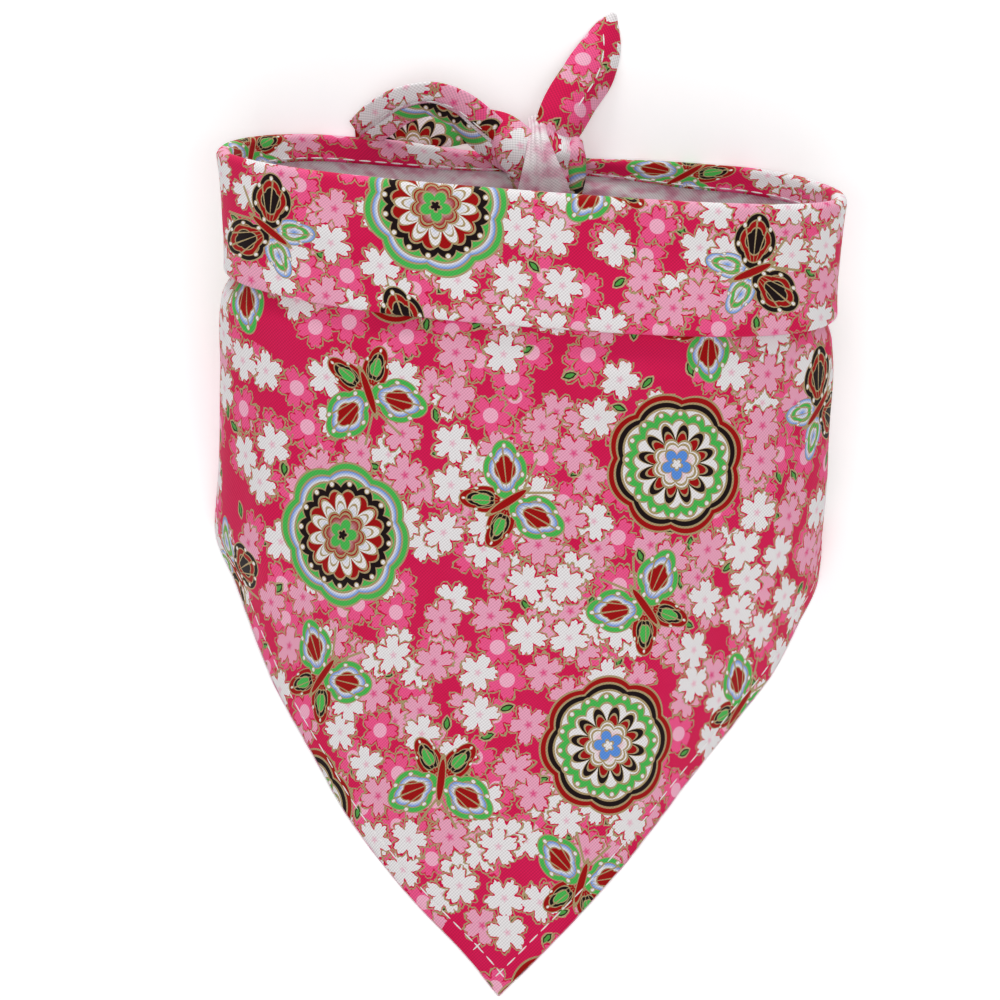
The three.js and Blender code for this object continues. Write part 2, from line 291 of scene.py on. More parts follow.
# Wavy discs: radius, lobes, depth of the waves as a share, width of the gold lines, and bands, each
# with how far it reaches and its ink in two colourings, or its inks at its inner and outer side.
ROSETTE = [
    (1.0, 8, 0.09, 0.03, [
        (0.8, (BLUE, WHITE_INK), GREEN),
        (0.9, BLACK, (WHITE_INK, BLUE)),
        (1.0, RED, GREEN),
    ]),
    (0.76, 16, 0.12, 0.04, [
        (0.82, WHITE_INK, RED),
        (1.0, GREEN, BLACK),
    ]),
    (0.58, 12, 0.42, 0.06, [
        (0.8, RED, (BLUE, WHITE_INK)),
        (1.0, BLACK, WHITE_INK),
    ]),
    (0.36, 8, 0.2, 0.09, [
        (0.85, (PINK, WHITE_INK), (WHITE_INK, RED)),
        (1.0, WHITE_INK, RED),
    ]),
    (0.24, 5, 0.45, 0.12, [
        (0.4, WHITE_INK, BLACK),
        (1.0, BLUE, GREEN),
    ]),
]
ROSETTE_DOTS = (0.7, 16, 0.028)
UPPER_DISC = (1.0, 4, 0.18, 0.05, [
    (0.5, RED, BLACK),
    (0.76, (WHITE_INK, BLUE), RED),
    (1.0, GREEN, BLACK),
])
LOWER_DISC = (1.0, 3, 0.2, 0.06, [
    (0.45, GREEN, (BLUE, WHITE_INK)),
    (0.68, BLACK, GREEN),
    (1.0, RED, (WHITE_INK, BLUE)),
])
# Wings of the right side: middle, turn and half sizes, the disc, and how many white dots.
WINGS = [
    ((0.32, -0.42), -0.95, (0.46, 0.28), LOWER_DISC, 5),
    ((0.56, 0.3), 0.55, (0.6, 0.44), UPPER_DISC, 7),
]
WING_DOTS = (0.78, 0.07)
DOT_EDGE, BODY_EDGE = 1.45, 1.3  # how far the gold reaches round a dot and round the body
print("discs in a rosette:", len(ROSETTE))

# %% The butterfly's other sizes, and the repeat
BUTTERFLY_RADIUS = 15
VEINS, VEIN_WIDTH, VEIN_REACH = 26, 0.08, 0.7
BODY_SIZE = (0.07, 0.42, 1)
# Feelers: share and start of their slant, half their width, and the middle and half of their reach.
FEELER_SLANT, FEELER_WIDTH, FEELER_REACH = (0.62, -0.2), 0.03, (0.68, 0.28)
ROSETTE_REPEAT = dict(width=94, height=86, drop=0.5, start=(0, 0))
BUTTERFLY_REPEAT = dict(width=47, height=86, drop=0.25, start=(0.5, 0.25))
REPEAT_TURN = 0.15
REPEAT_SHIFT = (72, -19)
MOTIF_TURNS = 40  # angle in radians that chance is spread over, enough to face every way


# %% Wavy, banded discs
def band_stops(bands, line, colouring):
    """Colour stops from the middle of a disc to its edge. Gold has an alpha of 1, other inks 0."""
    stops, start, gap = [], 0.0, 0.004
    for edge, *inks in bands:
        ink = inks[colouring]
        sides = ink if isinstance(ink, tuple) else (ink, ink)
        inner, outer = (linear(side)[:3] + [0] for side in sides)
        stops += [(start, inner), (edge - line, outer)]
        stops += [(edge - line + gap, linear(GOLD)), (edge, linear(GOLD))]
        start = edge + gap
    return stops


def lay_discs(tree, inks, local, discs, other):
    """Prints wavy, banded discs. Other is 1 for the second colouring."""
    distance, turns = polar(tree, local)
    for radius, lobes, depth, line, bands in discs:
        wave = add(tree, "Math MULTIPLY", turns, lobes)
        wave = add(tree, "Math PINGPONG", wave, 0.5)
        wave = add(tree, "Math POWER", wave, 2)
        edge = add(tree, "Math MULTIPLY_ADD", wave, -4 * depth * radius, radius)
        share = add(tree, "Math DIVIDE", distance, edge)
        inside = add(tree, "Math LESS_THAN", share, 1)
        both = [add(tree, "ValToRGB", share, stops=band_stops(bands, line, way)) for way in (0, 1)]
        gold = add(tree, "Math MULTIPLY", both[0].node.outputs["Alpha"], inside)
        ink = blend(tree, other, *both)
        cloth, before = lay_ink(tree, inks, inside, ink)
        inks = cloth, add(tree, "Math MAXIMUM", before, gold)
    return inks, distance, turns


# %% A place in the repeat
def repeat(tree, place, width, height, drop, start):
    """The place in the repeat, from its middle in millimetres, and a number by chance for it."""
    parts = add(tree, "SeparateXYZ", place).node.outputs
    column = add(tree, "Math MULTIPLY_ADD", parts["X"], 1 / width, start[0])
    row = add(tree, "Math MULTIPLY_ADD", parts["Y"], 1 / height, start[1])
    whole = add(tree, "Math FLOOR", column)
    row = add(tree, "Math MULTIPLY_ADD", whole, drop, row)
    at = add(tree, "CombineXYZ", column, row)
    cell = add(tree, "VectorMath FLOOR", at)
    chance = add(tree, "TexWhiteNoise", cell, noise_dimensions="2D")
    at = add(tree, "VectorMath SUBTRACT", at, cell)
    at = add(tree, "VectorMath SUBTRACT", at, (0.5, 0.5, 0))
    return add(tree, "VectorMath MULTIPLY", at, (width, height, 0)), chance


def turned_motif(tree, place, spacing, radius):
    """A motif's own place, 1 at its radius, turned by chance, and which colouring it has."""
    at, chance = repeat(tree, place, **spacing)
    local = add(tree, "VectorMath SCALE", at, sockets={"Scale": 1 / radius})
    angle = add(tree, "Math MULTIPLY", chance, MOTIF_TURNS)
    other = add(tree, "Math GREATER_THAN", chance, 0.5)
    return add(tree, "VectorRotate", local, sockets={"Angle": angle}, rotation_type="Z_AXIS"), other


# %% Dots, rosettes and butterflies
def lay_dots(tree, inks, distance, turns, radius, count, size):
    """Prints a ring of white dots, each with a gold edge."""
    beside = add(tree, "Math MULTIPLY", turns, count)
    beside = add(tree, "Math PINGPONG", beside, 0.5)
    beside = add(tree, "Math MULTIPLY", beside, math.tau * radius / count)
    beyond = add(tree, "Math SUBTRACT", distance, radius)
    apart = add(tree, "CombineXYZ", beside, beyond)
    apart = add(tree, "VectorMath LENGTH", apart).node.outputs["Value"]
    line = add(tree, "Math LESS_THAN", apart, size * DOT_EDGE)
    mask = add(tree, "Math LESS_THAN", apart, size)
    return lay_ink(tree, lay_gold(tree, inks, line), mask, linear(WHITE_INK))


def lay_rosettes(tree, inks, place):
    local, other = turned_motif(tree, place, ROSETTE_REPEAT, ROSETTE_RADIUS)
    inks, distance, turns = lay_discs(tree, inks, local, ROSETTE, other)
    return lay_dots(tree, inks, distance, turns, *ROSETTE_DOTS)


def lay_butterflies(tree, inks, place):
    local, other = turned_motif(tree, place, BUTTERFLY_REPEAT, BUTTERFLY_RADIUS)
    aside = add(tree, "SeparateXYZ", add(tree, "VectorMath ABSOLUTE", local))
    up = add(tree, "SeparateXYZ", local).node.outputs["Y"]
    half = add(tree, "CombineXYZ", aside, up)
    vein = add(tree, "Math MULTIPLY", polar(tree, half)[1], VEINS)
    vein = add(tree, "Math PINGPONG", vein, 0.5)
    vein = add(tree, "Math LESS_THAN", vein, VEIN_WIDTH)
    for middle, turn, size, disc, dots in WINGS:
        frame_of_wing = (*middle, 0), (0, 0, turn), (*size, 1)
        of_wing = add(tree, "Mapping", half, *frame_of_wing, vector_type="TEXTURE")
        inks, distance, turns = lay_discs(tree, inks, of_wing, [disc], other)
        short = add(tree, "Math LESS_THAN", distance, VEIN_REACH)
        inks = lay_gold(tree, inks, add(tree, "Math MULTIPLY", vein, short))
        inks = lay_dots(tree, inks, distance, turns, WING_DOTS[0], dots, WING_DOTS[1])
    feeler = add(tree, "Math MULTIPLY_ADD", up, *FEELER_SLANT)
    feeler = add(tree, "Math COMPARE", aside, feeler, FEELER_WIDTH)
    reach = add(tree, "Math COMPARE", up, *FEELER_REACH)
    inks = lay_gold(tree, inks, add(tree, "Math MULTIPLY", feeler, reach))
    body = add(tree, "VectorMath DIVIDE", local, BODY_SIZE)
    body = add(tree, "VectorMath LENGTH", body).node.outputs["Value"]
    inks = lay_gold(tree, inks, add(tree, "Math LESS_THAN", body, BODY_EDGE))
    return lay_ink(tree, inks, add(tree, "Math LESS_THAN", body, 1), linear(RED))


# %% The whole print, as one group
def make_print():
    tree = bpy.data.node_groups.new("print", "ShaderNodeTree")
    tree.interface.new_socket("Cloth", in_out="INPUT", socket_type="NodeSocketVector")
    tree.interface.new_socket("Colour", in_out="OUTPUT", socket_type="NodeSocketColor")
    tree.interface.new_socket("Gold", in_out="OUTPUT", socket_type="NodeSocketFloat")
    place = tree.nodes.new("NodeGroupInput").outputs["Cloth"]
    strays = []
    for size, detail, reach in ((JAG_SIZE, 0, JAG), (WANDER_SIZE, 1, WANDER)):
        rough = noise_at(tree, place, 1 / size, detail)
        strays.append(add(tree, "Math MULTIPLY_ADD", rough, reach, -reach / 2))
    jag, wander = strays
    mottle = noise_at(tree, place, 1 / MOTTLE_SIZE)
    inks = blend(tree, mottle, linear(CRIMSON), linear(CRIMSON_LIGHT)), 0.0
    for number, layer in enumerate(BLOSSOM_LAYERS):
        if number == 1:
            inks = lay_leaves(tree, inks, place, jag)
        inks = lay_blossoms(tree, inks, place, jag, wander, layer)
    lattice = add(tree, "Mapping", place, (*REPEAT_SHIFT, 0), (0, 0, REPEAT_TURN), (1, 1, 1))
    inks = lay_butterflies(tree, inks, lattice)
    inks = lay_rosettes(tree, inks, lattice)
    out = tree.nodes.new("NodeGroupOutput")
    tree.links.new(inks[0], out.inputs["Colour"])
    tree.links.new(inks[1], out.inputs["Gold"])
    print("nodes in the print:", len(tree.nodes))
    return tree


PRINT = make_print()

# %% [markdown]
# ## Cotton, its reverse, and thread
# Poplin is a plain weave of fine threads, and this triangle is cut on the bias, so the threads run
# at 45 degrees to its long edge and show as a fine diagonal hatch, painted into the colour as shade
# between the threads and highlight on top of them, over a matching bump. The ink sits on one face.
# The reverse stays nearly white, and the print has bled through it pale and blurred. Cotton is matt
# with a faint sheen at grazing angles.

# %% Sizes of weave and finish
CLOTH_MAP = "cloth"
THREAD_PITCH = 0.72  # coarser than the real 0.3 mm, which would be finer than a pixel
# The hatch is painted light: shade painted between threads, and a highlight painted on top of each.
THREAD_SHADE, THREAD_PAINTED_HIGHLIGHT = 0.26, 0.4  # how dark between threads, and how light on top of one
WARP_HEIGHT = 0.31  # warp threads stand higher than weft, so one slant shows more
THREAD_HEIGHT = 0.1
THREAD_BUMP = 0.4
COTTON_IOR = 1.47
COTTON_ROUGHNESS = 0.85
COTTON_SPECULAR = 0.2  # low, as fibres scatter most of what a smooth face would mirror
SHEEN = 0.04
GOLD_METALLIC = 0.4  # bronze powder in a clear binder, so only partly a metal
BLEED = [(0.36, "#FAF3F4"), (0.5, "#F6DFE6"), (0.62, "#EDB4C8"), (0.8, "#E08CA9")]
BLEED_SIZE = 6.5


def weave(tree, place):
    """Height of the weave, from 0 to 1: threads that cross at 45 degrees to the long edge."""
    scale = (math.tau / THREAD_PITCH,) * 3
    turned = add(tree, "Mapping", place, (0, 0, 0), (0, 0, math.pi / 4), scale)
    parts = add(tree, "SeparateXYZ", turned).node.outputs
    one = add(tree, "Math SINE", parts["X"])
    other = add(tree, "Math SINE", parts["Y"])
    one = add(tree, "Math MULTIPLY_ADD", one, WARP_HEIGHT, 0.5)
    return add(tree, "Math MULTIPLY_ADD", other, 0.5 - WARP_HEIGHT, one)


# %% Cotton on either face
def new_material(name, values):
    """A material, its nodes and its shader, with the shader's own sockets set by name."""
    material = bpy.data.materials.new(name)
    material.use_nodes = True
    shader = material.node_tree.nodes["Principled BSDF"]
    for socket, value in values.items():
        shader.inputs[socket].default_value = value
    return material, material.node_tree, shader


def cotton(name, reverse):
    """Printed cotton, seen on its printed face or on its reverse."""
    values = {"Roughness": COTTON_ROUGHNESS, "IOR": COTTON_IOR, "Sheen Weight": SHEEN}
    values["Specular IOR Level"] = COTTON_SPECULAR
    material, tree, shader = new_material(name, values)
    place = add(tree, "UVMap", uv_map=CLOTH_MAP)
    threads = weave(tree, place)
    # Painted shade and highlight: the weave's height darkens the colour between threads and lightens
    # it on top.
    low, high = 1 - THREAD_SHADE, 1 + THREAD_SHADE * THREAD_PAINTED_HIGHLIGHT
    shade = add(tree, "MapRange", threads, sockets={"To Min": low, "To Max": high})
    if reverse:
        colour = add(tree, "ValToRGB", noise_at(tree, place, 1 / BLEED_SIZE), stops=BLEED)
    else:
        ink = add(tree, "Group", node_tree=PRINT)
        tree.links.new(place, ink.node.inputs["Cloth"])
        colour = ink.node.outputs["Colour"]
        metal = add(tree, "Math MULTIPLY", ink.node.outputs["Gold"], GOLD_METALLIC)
        tree.links.new(metal, shader.inputs["Metallic"])
    colour = blend(tree, 1.0, colour, shade, blend_type="MULTIPLY")
    tree.links.new(colour, shader.inputs["Base Color"])
    relief = {"Strength": THREAD_BUMP, "Distance": THREAD_HEIGHT * MM, "Height": threads}
    tree.links.new(add(tree, "Bump", sockets=relief), shader.inputs["Normal"])
    return material


# %% The materials
# Poplin printed on one face: matt inks, the gold a little brighter, over a fine diagonal hatch of
# painted shade between threads and painted highlight on top of them.
FACE = cotton("printed cotton poplin", False)
# The same poplin from behind: near white and matt, with pale blurred patches of the print.
REVERSE = cotton("reverse of the cotton", True)

# Mercerised sewing cotton: whiter and smoother than the cloth, with the slant of its twist painted
# as faint bands of shade in its grooves.
THREAD_ROUGHNESS = 0.6
TWIST_SCALE = 900  # a twist of about a third of a millimetre
thread_values = {"Roughness": THREAD_ROUGHNESS, "IOR": COTTON_IOR}
THREAD, thread_tree, thread_shader = new_material("white cotton thread", thread_values)
at_object = add(thread_tree, "TexCoord").node.outputs["Object"]
twist = {"Scale": TWIST_SCALE}
ply = add(thread_tree, "TexWave", at_object, sockets=twist, bands_direction="DIAGONAL")
painted_twist_shade = add(thread_tree, "ValToRGB", ply, stops=[(0, "#E9E2E2"), (1, "#FFFFFF")])
thread_tree.links.new(painted_twist_shade, thread_shader.inputs["Base Color"])
print("materials:", FACE.name, "|", REVERSE.name, "|", THREAD.name)

# %% [markdown]
# ## How the cloth lies
# A fold or drape could be left to a cloth simulation, but the photograph fixes this one closely, so
# the cloth is laid by formula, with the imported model's own sizes in millimetres. Across the cloth a
# place follows a section: an arc over the front, a turn under each side and a flat back. Along the
# cloth it follows stretches: the turned-in edge, the cuff, a hidden pleat and the bib.

# %% Sizes of the laid cloth
PITCH = 1.4
LEAN = 0.077
TURN_UNDER = 1.05
SLANT_POWER = 1.25
TIP_LEVEL = -148.9
CUFF_LOW = 54
CUFF_TOP = 90.5
FLOOR_GAP = 0.8  # from the surface to the middle of the lowest cloth, leaving room for its hem
HEM_LIFT = 0.3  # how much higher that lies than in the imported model

# Level at the start and end, distance from the neck side there in layers, rows, and hemmed or not.
STRETCHES = [
    (82, 91, 0, 0, 7, False),
    (CUFF_TOP, CUFF_LOW, 3, 3.9, 34, False),
    (CUFF_LOW, 86, 2.1, 2, 6, False),
    (86, 53, 1, 1, 10, True),
    (53, 25, 1, 0, 22, True),
    (25, TIP_LEVEL, 0, 0, 100, True),
]
TURN_ROWS = 8

SECTION_COLUMNS = ("level", "centre", "half", "crown", "sweep", "side", "under", "slant", "stack")
SECTIONS = [
    (-148.9, -9.7, 0.2, 0.8, 25, 0, 0, 0, 0),
    (-138, -9.2, 10.1, 2.4, 30, 0, 0, 0, 0),
    (-120, -10.3, 27.3, 6.8, 45, 0, 0, 0, 0),
    (-100, -10.5, 43.6, 15.5, 56, 0, 0, 0, 0),
    (-80, -9.4, 56.7, 26, 62, 0, 0, 0, 0),
    (-60, -7.6, 69.9, 37.5, 66, 0, 0, 0, 0),
    (-45, -5.3, 78.4, 46, 71, 0, 0, 0, 0),
    (-32, -4.4, 84.4, 53, 79, 0, 0, 1, 0),
    (-18, -4.2, 90.9, 59, 90, 0, 0, 3, 0),
    (-6, -2.8, 91.6, 62.5, 90, 9, 13, 7, 0),
    (5, -2.3, 91.5, 65.5, 90, 18, 27, 11, 0),
    (25, -1.6, 91.4, 69, 90, 26, 52, 18, 0),
    (34, -1.3, 91.2, 70.5, 90, 28, 64, 20, 0),
    (45, -0.6, 90, 71, 90, 29, 78, 22, 3.8),
    (54, 0.5, 86.4, 69.5, 90, 29, 90, 22, 3.8),
    (98, 0.5, 91.4, 70, 90, 30, 150, 12.5, 2.7),
]
KNOT = {"x": 4.5, "y": 102, "z": 9.5, "wide": 27, "deep": 29, "high": 23}
GATHER = {"run": 40, "draw": 0.36, "lift": 2.6, "pleat": 2.4, "pleat_length": 16, "inside": 5}
BACK_SPAN = 200


# %% A smooth curve through a column of a table
def table_value(keys, values, at):
    """The value at a key, on a curve that passes through each row and never overshoots."""
    keys, values = np.array(keys, float), np.array(values, float)
    spans = np.diff(keys)
    slopes = np.diff(values) / spans
    before, after = slopes[:-1], slopes[1:]
    total = np.where(before * after > 0, before + after, 1)
    inner = np.where(before * after > 0, 2 * before * after / total, 0)
    tangents = np.concatenate([slopes[:1], inner, slopes[-1:]])
    i = np.clip(np.searchsorted(keys, at) - 1, 0, len(keys) - 2)
    f = np.clip((at - keys[i]) / spans[i], 0, 1)
    straight = values[i] + (values[i + 1] - values[i]) * f * f * (3 - 2 * f)
    return straight + spans[i] * f * (1 - f) * (tangents[i] * (1 - f) - tangents[i + 1] * f)


def section_value(column, level):
    where = SECTION_COLUMNS.index(column)
    return table_value([row[0] for row in SECTIONS], [row[where] for row in SECTIONS], level)


def smooth(share):
    share = np.clip(share, 0, 1)
    return share * share * (3 - 2 * share)


# %% The rows of the cloth, from the long edge to the tip
def cloth_rows():
    """Each row's way along the cloth, level, distance from the neck side, and hemmed or not."""
    rows, length = [], 0.0
    for i, (start, end, off_start, off_end, count, hemmed) in enumerate(STRETCHES):
        rise = end - start
        for f in np.linspace(0, 1, count + 1)[(1 if i else 0) :]:
            off = (off_start + (off_end - off_start) * f) * PITCH
            rows.append((length + abs(rise) * f, start + rise * f, off, hemmed))
        length += abs(rise)
        if i + 1 == len(STRETCHES):
            break
        next_start, next_end, next_off = STRETCHES[i + 1][:3]
        if (next_end - next_start) * rise > 0:
            continue
        low, high = off_end * PITCH, next_off * PITCH
        radius = abs(high - low) / 2
        for f in np.linspace(0, 1, TURN_ROWS + 1)[1:]:
            share = (1 - math.cos(math.pi * f)) / 2
            level = end + (next_start - end) * share
            level += math.copysign(radius, rise) * math.sin(math.pi * f)
            rows.append((length + math.pi * radius * f, level, low + (high - low) * share, False))
        length += math.pi * radius
    return rows


ROWS = cloth_rows()
print("rows:", len(ROWS), "and cloth from long edge to tip in mm:", round(ROWS[-1][0]))

# %% [markdown]
# ## Hems
# Each raw edge is turned over to the reverse and stitched down, so a hem is part of its cloth and
# shows the print on the reverse side. The columns of the grid run round it: in from the hem's inner
# edge, round the fold, across the cloth, and round the other fold.

# %% Columns across the cloth
HEM = 6.0
HEM_FOLD = 0.34
HEM_LEAST, HEM_MOST = 0.5, 0.9  # least width, and greatest as a share of the cloth beside it
HEM_COLUMNS = 4
FOLD_COLUMNS = 5
CLOTH = 0.46


def hemmed_columns(main):
    """Places across: side, share of the half width, inset as share of the hem, and fold angle."""
    half = [("hem", 1 - i / HEM_COLUMNS) for i in range(HEM_COLUMNS)]
    half += [("fold", math.pi * (1 - i / FOLD_COLUMNS)) for i in range(FOLD_COLUMNS)]
    across = [("main", share) for share in np.linspace(-1, 1, main + 1)]
    left = [(-1, *place) for place in half]
    right = [(1, *place) for place in reversed(half)]
    return left + [(-1 if place[1] < 0 else 1, *place) for place in across] + right


def across_cloth(column, reach, hem):
    """Way from the middle, lift towards the reverse, and distance on the print, for one column."""
    side, kind, value = column
    if kind == "main":
        return side, abs(value) * reach, 0.0, abs(value) * reach
    if kind == "fold":
        out = HEM_FOLD * math.sin(value)
        return side, reach + out, HEM_FOLD * (1 - math.cos(value)), reach + HEM_FOLD * value
    return side, reach - value * hem, 2 * HEM_FOLD, reach + HEM_FOLD * math.pi + value * hem


# %% Sections across the neck's axis
ARC_SAMPLES = 160
TURN_SAMPLES = 60


def section_at(level):
    """Half a section as arrays, from the ridge round the side to the back."""
    one = {name: float(section_value(name, level)) for name in SECTION_COLUMNS[1:]}
    floor = FLOOR_GAP + one["stack"] * PITCH
    one["crown"] += HEM_LIFT
    side, half, sweep = max(one["side"], 0), one["half"], math.radians(one["sweep"])
    rise = (one["crown"] - floor - side) / (1 - math.cos(sweep))
    angle = np.linspace(0, sweep, ARC_SAMPLES)
    x = half * np.sin(angle) / math.sin(sweep)
    z = floor + side + rise * (np.cos(angle) - math.cos(sweep))
    ahead = np.stack([half * np.cos(angle) / math.sin(sweep), -rise * np.sin(angle)])
    widest = ARC_SAMPLES - 1
    if side > 0:
        turn = side * TURN_UNDER
        angle = np.linspace(0, math.pi / 2, TURN_SAMPLES + 1)[1:]
        x = np.concatenate([x, half - turn * (1 - np.cos(angle)), [half - turn - BACK_SPAN]])
        z = np.concatenate([z, floor + side * (1 - np.sin(angle)), [floor]])
        under = np.stack([-turn * np.sin(angle), -side * np.cos(angle)])
        ahead = np.concatenate([ahead, under, [[-1], [0]]], axis=1)
    ahead = ahead / np.hypot(*ahead)
    way = np.concatenate([[0], np.cumsum(np.hypot(np.diff(x), np.diff(z)))])
    one.update(floor=floor, x=x, z=z, out_x=-ahead[1], out_z=ahead[0], way=way, closed=side > 0)
    one["hem"] = way[widest] + max(one["under"], 0)
    one["flat_x"], one["flat_way"] = x[-1], way[-1]
    return one


# %% [markdown]
# ## Soft folds
# Laid cotton is never quite smooth. A few low folds are set where the photograph has them, each a
# long soft ridge or hollow, over a gentle uneven drape. All layers of the cuff share them, because
# they lie on each other.

# %% Soft folds
# Middle of the fold as x and level, degrees from across, and its length, width and height.
SOFT_FOLDS = [
    (36, 39, -4, 34, 5, 2.3),
    (30, 31, -3, 40, 6, -1.3),
    (-45, 42, 14, 24, 6, 1.4),
    (-80, 0, 78, 34, 8, 1.8),
    (-66, -18, 70, 30, 9, -1.5),
    (78, 5, -75, 32, 8, 1.7),
    (64, -25, -66, 30, 10, -1.3),
    (-10, -60, 84, 44, 14, 1.3),
    (-62, 74, -18, 20, 7, 1.1),
    (40, 76, 6, 26, 6, -0.8),
]
# Waves across and along, where in the noise they are cut from, and their height.
UNEVEN = [((46, 60), 1.7, 1.7), ((15, 19), 8.2, 0.5)]
RELIEF_RISE = 8  # cloth lower than this over the table lies flatter


def relief(x, level):
    """How far the cloth stands proud of its smooth shape at a place."""
    height = 0.0
    for (across, along), cut, wave_height in UNEVEN:
        height += wave_height * noise.noise(Vector((x / across, level / along, cut)))
    for fold_x, fold_level, turn, length, width, fold_height in SOFT_FOLDS:
        turn = math.radians(turn)
        aside, up = x - fold_x, level - fold_level
        along = aside * math.cos(turn) + up * math.sin(turn)
        over = up * math.cos(turn) - aside * math.sin(turn)
        height += fold_height * math.exp(-((along / length) ** 2) - (over / width) ** 2)
    return height


# %% One place of the laid cloth
def knot_way(section, side):
    knot_x = side * (KNOT["x"] - section["centre"]) + KNOT["wide"] / 2 - GATHER["inside"]
    return section["flat_way"] - (knot_x - section["flat_x"])


def lay(section, level, off, side, way, lift, to_knot):
    """The place in millimetres of cloth that lies that way from the middle line."""
    px, pz, out_x, out_z = (
        float(np.interp(way, section["way"], section[key])) for key in ("x", "z", "out_x", "out_z")
    )
    if way > section["flat_way"] or (section["closed"] and way > section["way"][-2]):
        out_x, out_z = 0.0, -1.0
    off += relief(side * way, level) * float(smooth((pz - section["floor"]) / RELIEF_RISE)) - lift
    x = section["centre"] + side * (px + off * out_x)
    depth = max(1 - (pz - section["floor"]) / (section["crown"] - section["floor"]), 0)
    y = level - LEAN * x + section["slant"] * depth**SLANT_POWER
    z = pz + off * out_z
    gather = float(smooth(1 - (to_knot - way) / GATHER["run"]))
    pleat = (1 + math.cos(math.tau * (level - CUFF_TOP) / GATHER["pleat_length"])) / 2
    z += gather * gather * (GATHER["lift"] + GATHER["pleat"] * pleat)
    y += (KNOT["y"] - y) * GATHER["draw"] * gather
    return Vector((x, y, max(z, CLOTH / 2)))


# %% Grids as meshes
def grid_mesh(places, print_map, name, flip=False):
    """A grid whose vertices go to the given places, in mm, with the print's own map."""
    rows, columns = len(places), len(places[0])
    shape = bmesh.new()
    bmesh.ops.create_grid(shape, x_segments=columns - 1, y_segments=rows - 1, size=1)
    cloth_map = shape.loops.layers.uv.new(CLOTH_MAP)
    spots = {}
    for vertex in shape.verts:
        column = round((vertex.co.x + 1) / 2 * (columns - 1))
        row = round((1 - vertex.co.y) / 2 * (rows - 1))
        spots[vertex] = row, column
    for face in shape.faces:
        for loop in face.loops:
            row, column = spots[loop.vert]
            loop[cloth_map].uv = print_map[row][column]
    for vertex, (row, column) in spots.items():
        vertex.co = places[row][column] * MM
    if flip:
        bmesh.ops.reverse_faces(shape, faces=shape.faces[:])
    return finished(shape, name)


def mesh_of(shape, name):
    mesh = bpy.data.meshes.new(name)
    shape.to_mesh(mesh)
    shape.free()
    return mesh


def finished(shape, name):
    """The shape as a smooth object in the scene, with its place in its mesh."""
    mesh = mesh_of(shape, name)
    mesh.shade_smooth()
    made = bpy.data.objects.new(name, mesh)
    bpy.context.scene.collection.objects.link(made)
    return made


# %% Thickness
def give_thickness(piece, thickness):
    """Gives a cloth its thickness, printed on one face and plain on the other."""
    piece.data.materials.append(FACE)
    piece.data.materials.append(REVERSE)
    wall = piece.modifiers.new("thickness", "SOLIDIFY")
    wall.thickness = thickness * MM
    wall.offset = 0
    wall.use_even_offset = False
    wall.material_offset = 1
    wall.material_offset_rim = 0
    return piece


# %% [markdown]
# ## The loop, cuff and bib
# One grid makes the whole laid cloth. Its map measures the cloth itself: across along each row, and
# down from the long edge, so a blossom is as wide on the bib as it is on the turned-in edge.

# %% The main cloth
MAIN_COLUMNS = 176
HEM_ROOM = 10  # a hem narrows over this length as it runs into the knot


def row_of_cloth(level, hemmed):
    """A row's section with its reach and its hem's width on both sides."""
    section = section_at(level)
    sides = {}
    for side in (-1, 1):
        to_knot = knot_way(section, side) if section["closed"] else math.inf
        reach = min(section["hem"], to_knot) if hemmed else to_knot
        free = float(smooth((to_knot - section["hem"]) / HEM_ROOM)) if hemmed else 0.0
        hem = min(HEM * free + HEM_LEAST, HEM_MOST * reach)
        sides[side] = reach, hem, to_knot
    return section, sides


def make_main():
    columns = hemmed_columns(MAIN_COLUMNS)
    places, print_map = [], []
    for length, level, off, hemmed in ROWS:
        section, sides = row_of_cloth(level, hemmed)
        row, marks = [], []
        for column in columns:
            reach, hem, to_knot = sides[column[0]]
            side, way, lift, ink = across_cloth(column, reach, hem)
            row.append(lay(section, level, off, side, way, lift, to_knot))
            marks.append((side * ink, -length))
        places.append(row)
        print_map.append(marks)
    return grid_mesh(places, print_map, "bandana_cloth")


main_cloth = give_thickness(make_main(), CLOTH)
print("main cloth:", len(main_cloth.data.polygons), "faces")

# %% [markdown]
# ## Knot and free ends
# The two long corners of the triangle are tied behind the neck. Each is a strap of the same hemmed
# cloth, so one function lays them all along a rail, printed side up or down. The left end lies
# reverse side up and shows the print on its hems. The wrap of the knot has no hem and shows only its
# pale reverse, with creases that the pull has pressed into it.

# %% Rails of the straps
STRAP_COLUMNS = ("x", "y", "z", "width", "turn", "crown")
RIGHT_END = [
    (5.5, 104, 12, 9, 0, 2.5),
    (8.3, 113, 13, 13, 8, 3.2),
    (12.5, 121.5, 9.5, 14.6, 10, 3.6),
    (17.6, 129.6, 6, 14.6, 8, 3.4),
    (21, 137.2, 3.6, 12, 5, 2.6),
    (23, 143.2, 2.0, 7.4, 0, 1.4),
    (25.1, 148.1, 1.1, 0.8, 0, 0.3),
]
LEFT_END = [
    (-1, 102, 12, 9, 0, 2),
    (-9, 107.5, 14, 11, -12, 2.4),
    (-16, 113.5, 14.5, 12.5, -26, 2.4),
    (-22.5, 119, 14, 12, -34, 1.8),
    (-30.5, 121.8, 12.5, 11, -34, 1.2),
    (-39, 120, 10, 11, -24, 1),
    (-46, 115.8, 6.5, 11, -12, 0.8),
    (-51.5, 111.8, 3.6, 9, -5, 0.5),
]
